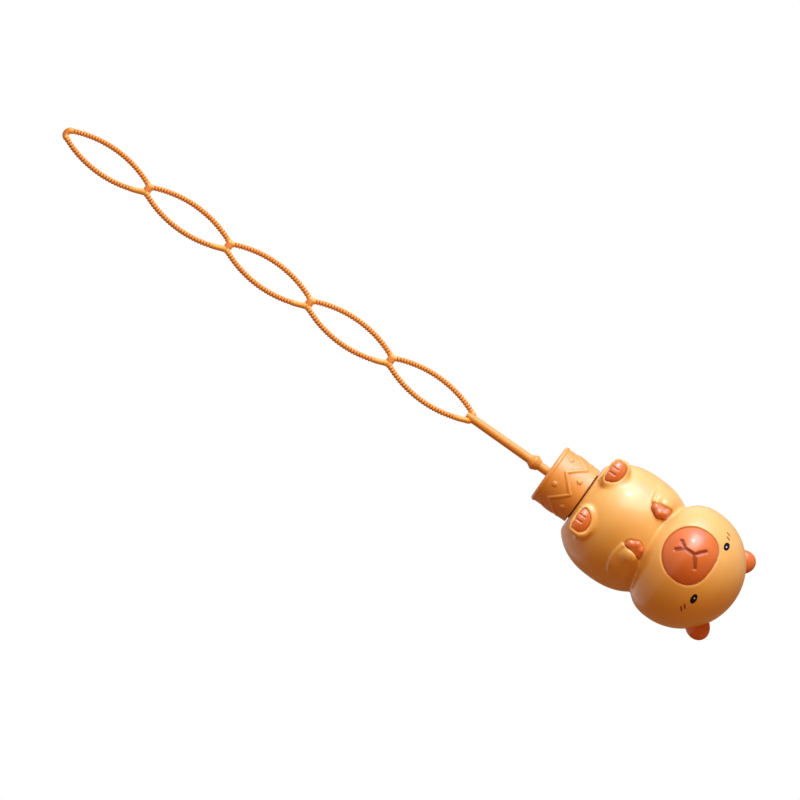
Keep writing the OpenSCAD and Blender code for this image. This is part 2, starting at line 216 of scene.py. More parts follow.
def mouldedFinishAndShade():
    # cloudy colour, painted shade pulled toward the Deep colour where the shade mark is set (on the stem an
    # even deeper tone instead), uneven gloss with fine scuffs, and a slight moulded ripple
    group, inp, out = plainGroup("mouldedFinishAndShade", [
        ("Base", "NodeSocketColor", (1, 1, 1, 1)), ("Cloud", "NodeSocketColor", (1, 1, 1, 1)),
        ("Deep", "NodeSocketColor", (0, 0, 0, 1)), ("Gloss", "NodeSocketFloat", 0.25),
        ("Spread", "NodeSocketFloat", 90.0)],
        [("Color", "NodeSocketColor"), ("Roughness", "NodeSocketFloat"), ("Height", "NodeSocketFloat")])
    link = group.links.new
    place = addNode(group, "ShaderNodeTexCoord").outputs["Object"]
    paintedShadeAndTint = addNode(group, "ShaderNodeAttribute", {"attribute_name": "paintedShadeAndTint"}).outputs["Fac"]
    cloud = addNode(group, "ShaderNodeTexNoise", Detail=3.0, Roughness=0.55)
    link(place, cloud.inputs["Vector"])
    link(inp.outputs["Spread"], cloud.inputs["Scale"])
    soften = addNode(group, "ShaderNodeMapRange", {"interpolation_type": "SMOOTHSTEP"},
                     From_Min=0.35, From_Max=0.7)
    link(cloud.outputs["Fac"], soften.inputs["Value"])
    tint = addNode(group, "ShaderNodeMix", {"data_type": "RGBA"})
    link(soften.outputs["Result"], tint.inputs["Factor"])
    link(inp.outputs["Base"], tint.inputs["A"])
    link(inp.outputs["Cloud"], tint.inputs["B"])
    # painted shade: the colour is mixed toward Deep by the painted shade and tint mark
    dark = addNode(group, "ShaderNodeMix", {"data_type": "RGBA"})
    link(paintedShadeAndTint, dark.inputs["Factor"])
    link(tint.outputs["Result"], dark.inputs["A"])
    link(inp.outputs["Deep"], dark.inputs["B"])
    link(dark.outputs["Result"], out.inputs["Color"])
    scuff = addNode(group, "ShaderNodeTexNoise", Scale=420.0, Detail=5.0, Roughness=0.7, Distortion=1.2)
    link(place, scuff.inputs["Vector"])
    rub = addNode(group, "ShaderNodeMapRange", From_Min=0.5, From_Max=0.85, To_Max=0.14)
    link(scuff.outputs["Fac"], rub.inputs["Value"])
    dull = addNode(group, "ShaderNodeMath", {"operation": "ADD"})
    link(rub.outputs["Result"], dull.inputs[0])
    link(inp.outputs["Gloss"], dull.inputs[1])
    worn = addNode(group, "ShaderNodeMath", {"operation": "MULTIPLY_ADD"})
    link(paintedShadeAndTint, worn.inputs[0])
    worn.inputs[1].default_value = 0.25
    link(dull.outputs[0], worn.inputs[2])
    link(worn.outputs[0], out.inputs["Roughness"])
    ripple = addNode(group, "ShaderNodeTexNoise", Scale=260.0, Detail=2.0)
    link(place, ripple.inputs["Vector"])
    grain = addNode(group, "ShaderNodeTexNoise", Scale=2600.0, Detail=2.0)
    link(place, grain.inputs["Vector"])
    both = addNode(group, "ShaderNodeMath", {"operation": "MULTIPLY_ADD"})
    link(grain.outputs["Fac"], both.inputs[0])
    both.inputs[1].default_value = 0.12
    link(ripple.outputs["Fac"], both.inputs[2])
    link(both.outputs[0], out.inputs["Height"])
    return group


def plasticMaterial(name, finishAndShade, look):
    material = bpy.data.materials.new(name)
    material.use_nodes = True
    tree = material.node_tree
    shader = tree.nodes["Principled BSDF"]
    skin = addNode(tree, "ShaderNodeGroup", {"node_tree": finishAndShade})
    for label in ("Base", "Cloud", "Deep"):
        skin.inputs[label].default_value = (*look[label.lower()], 1)
    skin.inputs["Gloss"].default_value = look["gloss"]
    skin.inputs["Spread"].default_value = look["spread"]
    bump = addNode(tree, "ShaderNodeBump", Strength=look["bump"], Distance=0.0002)
    tree.links.new(skin.outputs["Color"], shader.inputs["Base Color"])
    tree.links.new(skin.outputs["Roughness"], shader.inputs["Roughness"])
    tree.links.new(skin.outputs["Height"], bump.inputs["Height"])
    tree.links.new(bump.outputs["Normal"], shader.inputs["Normal"])
    shader.inputs["IOR"].default_value = 1.5
    shader.inputs["Specular IOR Level"].default_value = look["specular"]
    shader.inputs["Coat Weight"].default_value = look["coat"]
    shader.inputs["Coat Roughness"].default_value = look["coatRough"]
    return material


finishAndShade = mouldedFinishAndShade()
# deep is the painted shade colour that the shade mark mixes in
shellPlastic = plasticMaterial("creamOrangePlastic", finishAndShade, {
    "base": (0.88, 0.455, 0.083), "cloud": (0.9, 0.49, 0.1), "deep": (0.34, 0.09, 0.01),
    "specular": 0.42, "gloss": 0.4, "spread": 70.0, "bump": 0.05, "coat": 0.22, "coatRough": 0.14})
trimPlastic = plasticMaterial("brownPlastic", finishAndShade, {
    "base": (0.7, 0.16, 0.022), "cloud": (0.74, 0.185, 0.03), "deep": (0.2, 0.022, 0.003),
    "specular": 0.42, "gloss": 0.36, "spread": 110.0, "bump": 0.06, "coat": 0.28, "coatRough": 0.14})
collarPlastic = plasticMaterial("orangePlastic", finishAndShade, {
    "base": (0.82, 0.33, 0.045), "cloud": (0.85, 0.365, 0.06), "deep": (0.34, 0.06, 0.004),
    "specular": 0.5, "gloss": 0.44, "spread": 90.0, "bump": 0.02, "coat": 0.2, "coatRough": 0.25})
wandPlastic = plasticMaterial("paleOrangePlastic", finishAndShade, {
    "base": (0.97, 0.455, 0.06), "cloud": (0.98, 0.49, 0.075), "deep": (0.52, 0.06, 0.002),
    "specular": 0.35, "gloss": 0.42, "spread": 90.0, "bump": 0.02, "coat": 0.08, "coatRough": 0.25})
sealRubber = plasticMaterial("greyRubber", finishAndShade, {
    "base": (0.5, 0.48, 0.44), "cloud": (0.56, 0.54, 0.49), "deep": (0.3, 0.28, 0.25),
    "specular": 0.4, "gloss": 0.62, "spread": 200.0, "bump": 0.2, "coat": 0.0, "coatRough": 0.3})
eyeInk = plasticMaterial("blackInk", finishAndShade, {
    "base": (0.008, 0.006, 0.006), "cloud": (0.014, 0.01, 0.009), "deep": (0.004, 0.003, 0.003),
    "specular": 0.15, "gloss": 0.45, "spread": 900.0, "bump": 0.05, "coat": 0.0, "coatRough": 0.1})
glintInk = plasticMaterial("whiteInk", finishAndShade, {
    "base": (0.85, 0.84, 0.8), "cloud": (0.9, 0.89, 0.86), "deep": (0.6, 0.58, 0.55),
    "specular": 0.3, "gloss": 0.3, "spread": 900.0, "bump": 0.05, "coat": 0.2, "coatRough": 0.1})
tickInk = plasticMaterial("brownInk", finishAndShade, {
    "base": (0.3, 0.075, 0.018), "cloud": (0.36, 0.1, 0.025), "deep": (0.2, 0.05, 0.01),
    "specular": 0.2, "gloss": 0.34, "spread": 900.0, "bump": 0.05, "coat": 0.1, "coatRough": 0.2})
print("finishes ready")


figureForm = {
    "low": 15.9, "neckHole": 8.3, "wallInside": 1.5,
    "bodyCentre": (0, 2.5, 35.1), "bodyHalf": (22.5, 22.5), "bodyReach": 23, "bodyPower": 2.3,
    "headCentre": (0, -2.8, 60.8), "headHalf": (23.4, 24.0), "headDown": 15.6, "headUp": 22.6,
    "headPower": 2.5, "chinDroop": 2.6, "neckFillet": 1.2,
    "wrist": (10.4, -15.57, 41.8), "wristThick": 4.1, "wristSlant": 11,
    "shoulder": (15.98, -6.0, 42.8), "shoulderThick": 3.5,
    "armFillet": 0.4, "armBlend": 1.6, "armTop": 46.0, "armTurn": 40, "armLow": 36.3, "armBend": 0.03,
    "armRise": 1.15, "armEdge": (-0.55, 0.55), "armFade": (2, 11), "armEase": (1, 11),
    "footFront": -16.7, "footBack": -4, "footRing": 1.7, "footTaper": 0.45, "footKeep": 0.7, "footFillet": 2.0,
    "faceBack": -8, "soleBack": -13.7, "muzzleBed": 1.1, "soleBed": 0.9, "earBed": 0.5, "pawBed": 0.4,
    "seamDip": 0.12, "columnsFront": 200, "columnsBack": 116, "rowsBelow": 118, "rowsAbove": 80,
}
muzzleForm = {
    "centre": (0, 59.1), "half": (10.8, 9.8), "roundAbove": 0.82, "roundBelow": 0.95, "flare": 0.07,
    "domeCentre": (0, -10.7, 60.1), "domeHalf": (15.98, 18.0, 14.5), "edge": 0.9, "drop": 0.9, "depth": 2.2,
    "strokes": [((0, 60.6), (3.6, 63.4)), ((0, 60.6), (-3.6, 63.4)), ((0, 60.6), (0, 56.4)),
                ((0, 56.4), (1.9, 54.1)), ((0, 56.4), (-1.9, 54.1))],
    "strokeHalf": 0.95, "strokeDepth": 0.7,
}
soleForm = {
    "side": 10.8, "low": 17.9, "half": 4.6, "height": 5.7, "flat": 1.3, "skew": 0.26,
    "domeCentre": (-12.8, 2.28), "domeHalf": (6.62, 5.0, 4.79), "edge": 0.7, "drop": 0.6, "depth": 1.3,
    "outerRing": 0.8, "toeLines": 1.1, "toeSpan": (0.7, 2.6), "toeHalf": 0.6, "toeDepth": 0.28,
}
earForm = {"centre": (14.7, 1.5, 77.6), "half": (4.6, 3.2, 5.4), "tilt": 38}


def headFront(x, z):  # front of the head above a place in the face: its width at that height, then a circle
    centre, form = figureForm["headCentre"], figureForm
    rise = z - centre[2]
    above = rise > 0
    power = np.where(above, 2.0, form["headPower"])
    reach = np.where(above, form["headUp"], form["headDown"] + form["chinDroop"])
    share = np.clip(np.abs(rise) / reach, 0, 1)
    wide = (1 - share ** power) ** (1 / power)
    deep = np.sqrt(np.clip(wide ** 2 - (x / form["headHalf"][0]) ** 2, 0, 1))
    return centre[1] - form["headHalf"][1] * deep


def muzzleRing(turn):  # superellipse that is a little wider and squarer above
    power = np.where(np.sin(turn) > 0, muzzleForm["roundAbove"], muzzleForm["roundBelow"])
    side = np.sign(np.cos(turn)) * np.abs(np.cos(turn)) ** power * (1 + muzzleForm["flare"] * np.sin(turn))
    rise = np.sign(np.sin(turn)) * np.abs(np.sin(turn)) ** power
    return muzzleForm["half"][0] * side, muzzleForm["half"][1] * rise


def muzzleReach(x, z):  # distance outside the muzzle's outline, measured toward its middle
    rise = (z - muzzleForm["centre"][1]) / muzzleForm["half"][1]
    power = 1 / np.where(rise > 0, muzzleForm["roundAbove"], muzzleForm["roundBelow"])
    lean = np.sign(rise) * np.clip(np.abs(rise), 0, 1) ** power
    side = x / (muzzleForm["half"][0] * (1 + muzzleForm["flare"] * lean))
    grow = (np.abs(side) ** (2 * power) + np.abs(rise) ** (2 * power)) ** (0.5 / power)
    return np.hypot(x, z - muzzleForm["centre"][1]) * (1 - 1 / np.maximum(grow, 1e-3))


def soleRing(turn):  # half oval with a nearly straight lower edge, leaning outward above it
    form = soleForm
    side = form["half"] * np.sign(np.cos(turn)) * np.abs(np.cos(turn)) ** 0.8
    rise = np.where(np.sin(turn) > 0, (form["height"] - form["flat"]) * np.abs(np.sin(turn)) ** 0.95,
                    -form["flat"] * np.abs(np.sin(turn)) ** 0.5)
    return side + form["skew"] * np.maximum(rise, 0), rise


def soleReach(x, z, extra):  # distance outside the sole's outline grown by extra, measured toward its middle
    form = soleForm
    rise = z - form["low"] - form["flat"]
    across = np.abs(x) - form["side"] - form["skew"] * np.maximum(rise, 0)
    side = np.abs(across) / (form["half"] + extra * np.where(across > 0, form["outerRing"], 1))
    below, power = (form["flat"], 4.0) if extra == 0 else (form["flat"] + 0.75 * extra, 2.0)
    above = np.abs(rise) / np.where(rise > 0, form["height"] - form["flat"] + extra, below)
    grow = (side ** 2.4 + above ** np.where(rise > 0, 2.1, power)) ** 0.42
    return np.hypot(across, rise) * (1 - 1 / np.maximum(grow, 1e-3))


def earReach(points):  # distance outside the tilted egg of an ear
    tilt = math.radians(earForm["tilt"])
    x = np.abs(points[..., 0]) - earForm["centre"][0]
    y, z = points[..., 1] - earForm["centre"][1], points[..., 2] - earForm["centre"][2]
    across, along = x * math.cos(tilt) - z * math.sin(tilt), x * math.sin(tilt) + z * math.cos(tilt)
    half = earForm["half"]
    grow = np.sqrt((across / half[0]) ** 2 + (y / half[1]) ** 2 + (along / half[2]) ** 2)
    return np.sqrt(x * x + y * y + z * z) * (1 - 1 / np.maximum(grow, 1e-3))


pawForm = {"wrist": 10.4, "front": -17.2, "height": 41.8, "gap": 0.12, "toeStep": 2.45, "toeThick": 1.9,
           "tipThick": 1.7, "middleReach": 3.2, "sideReach": 2.2, "join": 1.1, "top": 45.2}


def pawDistance(points):
    # three toes, each a bar from the wrist to its tip, joined softly and cut above and at the wrist
    form = pawForm
    paw = None
    for i in (-1, 0, 1):
        reach = form["middleReach"] if i == 0 else form["sideReach"]
        root = (form["wrist"] + 0.6, form["front"] + 0.6, form["height"] + i * form["toeStep"])
        tip = (form["wrist"] - reach, form["front"] - 1.6 + (0.45 if i else 0), form["height"] + i * 2.1)
        toe = barDistance(points, root, tip, form["toeThick"], form["tipThick"])
        paw = toe if paw is None else softMin(paw, toe, form["join"])
    paw = softMax(paw, points[..., 2] - form["top"], 1.0)
    slant = math.radians(figureForm["wristSlant"])
    out, rise = points[..., 0] - form["wrist"] + form["gap"], points[..., 2] - form["height"]
    beyond = out * math.cos(slant) - rise * math.sin(slant)
    return softMax(paw, beyond, 0.4)


def bodyDistance(points):
    form = figureForm
    return eggDistance(points, form["bodyCentre"], form["bodyHalf"], form["bodyReach"], form["bodyReach"],
                       form["bodyPower"], form["bodyPower"])


def skinDistance(points):
    # body and head joined with a fillet, upper arms as a low swelling with a crisp lower edge,
    # bars for the wrists that are cut flat, feet as blocks that narrow toward the back,
    # a shallow bed under each pad, and a flat underside
    form = figureForm
    head = eggDistance(points, form["headCentre"], form["headHalf"], form["headDown"], form["headUp"],
                       form["headPower"], 2.0, form["chinDroop"])
    folded = points.copy()
    folded[..., 0] = np.abs(folded[..., 0])
    arm = barDistance(folded, form["wrist"], form["shoulder"], form["wristThick"], form["shoulderThick"])
    lean = math.radians(form["armTurn"])
    back = points[..., 1] - form["bodyCentre"][1]
    side = form["bodyHalf"][0] * (np.arctan2(folded[..., 0], -back) - lean)
    rise = points[..., 2] - form["armLow"] - form["armBend"] * (side + 0.8) ** 2
    slant = math.radians(form["wristSlant"])
    inward, above = form["wrist"][0] - folded[..., 0], points[..., 2] - form["wrist"][2]
    beyond = inward * math.cos(slant) + above * math.sin(slant)
    swell = form["armRise"] * easeStep(*form["armEdge"], rise) * (1 - easeStep(*form["armFade"], side)) \
        * (1 - easeStep(*form["armEase"], rise)) * (1 - easeStep(-0.3, 0.3, beyond)) * (back < 0)
    skin = softMin(bodyDistance(points) - swell, head, form["neckFillet"])
    arm = softMax(arm, points[..., 2] - form["armTop"], 1.5)
    fillet = form["armFillet"] + form["armBlend"] * easeStep(-5, -1, side)  # wider away from the wrist
    skin = softMin(skin, softMax(arm, beyond, 0.6), fillet)
    skin = softMin(skin, pawDistance(folded) + form["pawBed"], 0.3)
    x, y, z = points[..., 0], points[..., 1], points[..., 2]
    upper = easeStep(0.5, 3, z - soleForm["low"] - soleForm["flat"])
    narrow = form["footTaper"] * (1 - form["footKeep"] * upper) * np.clip(y - form["footFront"] - 1, 0, 12)
    foot = softMax(soleReach(x, z, form["footRing"]) + narrow, form["footFront"] - y, 2.0)
    skin = softMin(skin, np.maximum(foot, y - form["footBack"]), form["footFillet"])
    skin = softMax(skin, form["low"] - z, 0.7)
    skin = skin + form["muzzleBed"] * (1 - easeStep(-1.0, 0.55, muzzleReach(x, z))) * (y < form["faceBack"])
    skin = skin + form["soleBed"] * (1 - easeStep(-0.6, 0.3, soleReach(x, z, 0))) * (y < form["soleBack"])
    skin = skin + form["earBed"] * (1 - easeStep(-0.5, 0.45, earReach(points)))
    return skin + form["seamDip"] * (1 - easeStep(0.05, 0.4, np.abs(y)))


def figureHalf(name, face, columns, node):
    # rays leave the axis level below the head's middle and fan out above it;
    # each is followed inward from outside until the skin's distance is zero
    form = figureForm
    edge = np.array([88.8, 89.2, 89.6, 90])  # closer columns beside the parting line
    turn = np.radians(np.concatenate([-edge[::-1], np.linspace(-88.2, 88.2, columns), edge]))
    middle = form["headCentre"][2]
    level = np.concatenate([form["low"] + 0.8 * np.linspace(0, 1, 8) ** 1.6,
                            np.linspace(form["low"] + 0.8, middle, form["rowsBelow"])[1:]])
    lift = np.radians(np.concatenate([np.zeros(len(level)), np.linspace(0, 90, form["rowsAbove"])[1:]]))
    height = np.concatenate([level, np.full(form["rowsAbove"] - 1, middle)])
    way = np.stack([np.cos(lift)[:, None] * np.sin(turn), face * np.cos(lift)[:, None] * np.cos(turn),
                    np.sin(lift)[:, None] * np.ones_like(turn)], -1)
    way[:, [0, -1], 1] = 0.0  # both halves end in the parting plane
    start = np.zeros_like(way)
    start[..., 2] = height[:, None]
    far = np.full(way.shape[:2], 46.0)
    for step in range(80):
        far = far - 0.7 * np.clip(skinDistance(start + far[..., None] * way), -0.4, 6)
    points = start + far[..., None] * way
    inner = form["neckHole"]
    shrink = np.linspace(0, 1, 7)[:-1][:, None]
    under = inner + shrink * (far[0] - inner)
    flat = np.stack([under * np.sin(turn), face * under * np.cos(turn), np.full_like(under, form["low"])], -1)
    flat[:, [0, -1], 1] = 0.0
    rim = flat[:1] + np.array([[[0, 0, 1.3]], [[0, 0, 0.15]]])
    points = np.concatenate([rim, flat, points])
    x, y, z = points[..., 0], points[..., 1], points[..., 2]
    fore = y < form["faceBack"]
    toPaw = pawDistance(np.abs(points) * np.array([1, -1, 1]))
    paintedShadeAndTint = np.max([  # painted shade beside the muzzle, soles, ears and paws and along the underside, and a dark seam line on the parting line
        (1 - easeStep(-0.25, 0.38, muzzleReach(x, z))) * fore,
        (1 - easeStep(-0.12, 0.2, soleReach(x, z, 0))) * (y < form["soleBack"]),
        1 - easeStep(0.0, 0.35, earReach(points)),
        0.9 * (1 - easeStep(0.15, 0.6, toPaw)) * fore,
        0.35 * (1 - easeStep(0.0, 0.25, np.abs(y))),
        0.7 * (1 - easeStep(form["low"], form["low"] + 0.35, z))], axis=0)
    part = gridPart(points, (0, 0, 45), poles=(False, True), paintedShadeAndTint=paintedShadeAndTint)
    piece = makePiece(name, [part], "figure", shellPlastic, (node,))
    wall = piece.modifiers.new("wall", "SOLIDIFY")
    wall.thickness, wall.offset = form["wallInside"] * 0.001, -1


figureHalf("front_half", -1, figureForm["columnsFront"], "front_shell")
figureHalf("back_half", 1, figureForm["columnsBack"], "back_shell")


def muzzleFace(x, z):  # front of a broad dome
    centre, half = muzzleForm["domeCentre"], muzzleForm["domeHalf"]
    share = 1 - (x / half[0]) ** 2 - ((z - centre[2]) / half[2]) ** 2
    return centre[1] - half[1] * np.sqrt(np.clip(share, 0, 1))


def muzzleGroove(x, z):  # round-bottomed grooves along the nose and mouth strokes
    near = np.min([strokeDistance(x, z, a, b) for a, b in muzzleForm["strokes"]], axis=0)
    share = np.clip(near / muzzleForm["strokeHalf"], 0, 1)
    # the second value is painted shade that darkens the grooves
    return muzzleForm["strokeDepth"] * (1 - share ** 2) ** 0.75, 0.75 * (1 - share ** 2)


makePiece("muzzle_pad", [padPart(muzzleForm["centre"], muzzleRing, muzzleFace, muzzleForm["edge"],
                                 muzzleForm["drop"], muzzleForm["depth"], 260, 150, muzzleGroove)],
          "figure", trimPlastic, ("muzzle",))


def addSole(name, side, node):
    form = soleForm
    middle = (side * form["side"], form["low"] + form["flat"])

    def face(x, z):  # front of a flat dome
        wide, deep, high = form["domeHalf"]
        across, rise = (x - middle[0]) / wide, (z - form["low"] - form["domeCentre"][1]) / high
        return form["domeCentre"][0] - deep * np.sqrt(np.clip(1 - across ** 2 - rise ** 2, 0, 1))

    def toes(x, z):  # two short upright grooves between three toes
        low, high = (form["low"] + rise for rise in form["toeSpan"])
        lines = [middle[0] - form["toeLines"], middle[0] + form["toeLines"]]
        near = np.min([strokeDistance(x, z, (line, low), (line, high)) for line in lines], axis=0)
        share = np.clip(near / form["toeHalf"], 0, 1)
        # the second value is light painted shade in the toe grooves
        return form["toeDepth"] * (1 - share ** 2), 0.3 * (1 - share ** 2)

    def outline(turn):
        across, rise = soleRing(turn)
        return side * across, rise

    makePiece(name, [padPart(middle, outline, face, form["edge"], form["drop"], form["depth"], 160, 70, toes)],
              "figure", trimPlastic, (node,))


addSole("left_sole_pad", 1, "left_sole")
addSole("right_sole_pad", -1, "right_sole")


def roundGrid(rows, columns):  # directions of a globe's rows and columns, as unit steps
    rise = np.linspace(-np.pi / 2, np.pi / 2, rows)[:, None]
    turn = np.linspace(0, 2 * np.pi, columns, endpoint=False)
    return np.stack([np.cos(rise) * np.cos(turn), np.cos(rise) * np.sin(turn),
                     np.sin(rise) * np.ones_like(turn)], -1)


def addEar(name, side, node):  # egg scaled from a globe and tilted outward
    tilt = math.radians(earForm["tilt"]) * side
    globe = roundGrid(60, 90) * np.array(earForm["half"])
    points = np.stack([globe[..., 0] * math.cos(tilt) + globe[..., 2] * math.sin(tilt), globe[..., 1],
                       globe[..., 2] * math.cos(tilt) - globe[..., 0] * math.sin(tilt)], -1)
    centre = np.array(earForm["centre"]) * np.array([side, 1, 1])
    makePiece(name, [gridPart(points + centre, centre, wrapColumns=True, poles=(True, True))],
              "figure", trimPlastic, (node,))


addEar("left_ear_lobe", 1, "left_ear")
addEar("right_ear_lobe", -1, "right_ear")


def addPaw(name, side, node):  # rays from inside the paw, followed inward until they meet the toes
    way = roundGrid(90, 130)
    centre = np.array([pawForm["wrist"] - 1.6, pawForm["front"] + 0.2, pawForm["height"]])
    far = np.full(way.shape[:2], 9.0)
    for step in range(60):
        far = far - 0.7 * np.clip(pawDistance(centre + far[..., None] * way), -0.3, 3)
    points = centre + far[..., None] * way
    deep = bodyDistance(points)
    points[..., 0] = points[..., 0] * side
    # painted shade on the paw where it meets the body
    makePiece(name, [gridPart(points, centre * np.array([side, 1, 1]), wrapColumns=True, poles=(True, True),
                              paintedShadeAndTint=0.8 * (1 - easeStep(-0.1, 0.5, deep)))],
              "figure", trimPlastic, (node,))


addPaw("left_paw_toes", 1, "left_paw")
addPaw("right_paw_toes", -1, "right_paw")


printForm = {"raise": 0.05, "eyes": {"left": (11.8, 69.75), "right": (-10.9, 68.75)}, "eyeHalf": (1.72, 1.15),
             "eyeLean": 5, "glint": (-0.25, 0.05), "glintHalf": (0.3, 0.27), "tickHalf": 0.33,
             "ticks": {"left": [(15.5, 68.7, 54, 1.0), (16.75, 68.2, 54, 1.0)],
                       "right": [(-14.1, 67.6, 72, 1.05), (-15.7, 66.9, 72, 1.05)]}}


def printedSpot(name, centre, half, lean, lift, material):  # thin oval of ink that follows the head
    lean = math.radians(lean)

    def outline(turn):
        across, rise = half[0] * np.cos(turn), half[1] * np.sin(turn)
        return (across * math.cos(lean) - rise * math.sin(lean),
                across * math.sin(lean) + rise * math.cos(lean))

    makePiece(name, [padPart(centre, outline, lambda x, z: headFront(x, z) - lift, 0.12, 0.06, 0.2, 48, 14)],
              "figure", material)


for label, side in (("left", 1), ("right", -1)):
    eye = printForm["eyes"][label]
    printedSpot(label + "_eye", eye, printForm["eyeHalf"], printForm["eyeLean"], printForm["raise"], eyeInk)
    printedSpot(label + "_eye_glint", (eye[0] + side * printForm["glint"][0], eye[1] + printForm["glint"][1]),
                printForm["glintHalf"], 0, 2 * printForm["raise"], glintInk)
    for number, (x, z, lean, reach) in enumerate(printForm["ticks"][label]):
        printedSpot(label + "_tick_" + str(number + 1), (x, z), (reach, printForm["tickHalf"]),
                    lean, printForm["raise"], tickInk)
print("figure ready")


collarForm = {
    "radius": 11.4, "low": 5.5, "high": 11.4, "waves": 6, "turn": 23, "line": 0.62, "relief": 0.34,
    "dotHalf": 1.05, "dotRise": 0.38, "columns": 420, "socket": 9.8,
    "lugs": 6, "lugSpan": 36, "lugRise": 0.7, "lugPitch": 3.2,
    # radius, height, rounding, spacing of the stretch that follows
    "outline": [(1.81, 6.4, 0.1, 0.8), (3.45, 6.4, 0.3, 0.6), (3.45, 9.6, 0.3, 1.0), (9.8, 9.6, 0.4, 0.3),
                (9.8, 0.7, 0.3, 0.4), (10.22, 0, 0.25, 0.4), (11.0, 0, 0.3, 0.4), (11.7, 0.7, 0.4, 0.4),
                (11.7, 1.4, 0.3, 0.3), (11.4, 1.7, 0.25, 0.17), (11.4, 15.28, 0.12, 0.2),
                (11.18, 15.5, 0.12, 0.7), (8.0, 15.5, 0.2, 0.6), (8.0, 18.3, 0.15, 0.6),
                (9.8, 18.3, 0.2, 0.5), (9.8, 19.1, 0.2, 0.5),
                (9.0, 19.9, 0.2, 0.8), (6.2, 19.9, 0.3, 1.0), (6.2, 11.8, 0.4, 0.9), (3.45, 11.8, 0.3, 0.6),
                (3.45, 13.4, 0.3, 0.6), (1.81, 13.4, 0.1, 1.2)],
}


def collarRelief(angle, z):
    # raised zigzag and dots: the angle is folded into one slope,
    # then the height falls off with the distance from it
    form = collarForm
    wave = 360 / form["waves"]
    fold = np.abs((angle - form["turn"] + wave / 2) % wave - wave / 2)
    along = np.radians(fold) * form["radius"]
    run = math.radians(wave / 2) * form["radius"]
    near = strokeDistance(along, z, (0, form["high"]), (run, form["low"]))
    ridge = form["relief"] * (1 - easeStep(0.25 * form["line"], 1.45 * form["line"], near))
    dots = np.minimum(np.hypot(along, z - form["low"] + 1.0), np.hypot(run - along, z - form["high"] - 0.2))
    dome = form["dotRise"] * np.sqrt(np.clip(1 - (dots / form["dotHalf"]) ** 2, 0, 1))
    toLine, toDot = near / form["line"], dots / form["dotHalf"]
    # painted shade in a ring round the foot of the ridge and of each dot
    foot = np.maximum(easeStep(0.9, 1.2, toLine) * (1 - easeStep(1.3, 1.8, toLine)),
                      easeStep(0.8, 1.0, toDot) * (1 - easeStep(1.05, 1.35, toDot)))
    return np.maximum(ridge, dome), 0.3 * foot


def collarThread(angle, z):  # short raised lugs that step up around the socket
    form = collarForm
    height = np.zeros(np.broadcast(angle, z).shape)
    for i in range(form["lugs"]):
        start = i * 360 / form["lugs"] + 90  # the lugs are counted from the side, angles from the front
        run = (angle - start) % 360
        ends = easeStep(0, 3, run) * (1 - easeStep(form["lugSpan"] - 3, form["lugSpan"], run))
        rise = z - 2 - i * form["lugPitch"] / form["lugs"]
        height = np.maximum(height, ends * easeStep(-0.2, 0.6, rise) * (1 - easeStep(1.1, 1.9, rise)))
    return form["lugRise"] * height


def addCollar():
    form = collarForm
    line = roundLine(form["outline"])
    angle = np.linspace(0, 360, form["columns"], endpoint=False)[None, :]
    radius, z = line[:, :1], line[:, 1:]
    raised, shade = collarRelief(angle, z)
    outer = (np.abs(radius - form["radius"]) < 0.01) & (z < 16)
    socket = (np.abs(radius - form["socket"]) < 0.01) & (z < 9.6)
    reach = radius + np.where(outer, raised, 0) - np.where(socket, collarThread(angle, z), 0)
    paintedShadeAndTint = np.where(outer, shade, 0)
    # painted shade on the top face under the figure and deeper down the socket
    paintedShadeAndTint = np.maximum(paintedShadeAndTint, 0.6 * easeStep(15.2, 15.5, z) + 0 * angle)
    paintedShadeAndTint = np.maximum(paintedShadeAndTint, np.where(socket, 0.5 * easeStep(2, 9, z), 0))
    turn = np.radians(angle)
    points = np.stack([reach * np.sin(turn), -reach * np.cos(turn), z + 0 * turn], -1)
    makePiece("collar_ring", [gridPart(points, wrapColumns=True, wrapRows=True, paintedShadeAndTint=paintedShadeAndTint)],
              "wand_set", collarPlastic, ("collar",))


addCollar()
print("collar ready")


wandForm = {
    "loops": 5, "pitch": 37.0, "width": 11.0, "endRadius": 1.8, "overlap": 0.6, "start": -34.8,
    "ribs": 70, "ribHigh": 1.15, "ribLow": 0.78, "endThick": 1.24, "plain": (7.5, 4.5), "plainSwell": 0.85,
    "perRib": 10, "around": 16, "endPaintedShade": 0.6, "stemDeep": 0.3, "stemAround": 48,
    "stem": [(0.0, 13.4), (1.5, 13.4), (1.75, 13.1), (1.75, 5.0), (1.75, -3.9), (1.8, -4.08), (2.1, -4.2),
             (2.75, -5.75), (2.88, -5.98), (2.9, -6.15), (2.9, -6.45), (2.88, -6.62), (2.75, -6.88),
             (2.0, -8.1), (1.82, -8.4), (1.76, -8.7), (1.74, -9.4), (1.7, -20.0), (1.65, -32.0), (1.64, -34.4),
             (1.6, -35.0), (1.2, -36.8), (1.0, -36.96), (0.5, -37.0), (0.0, -37.0)],
}


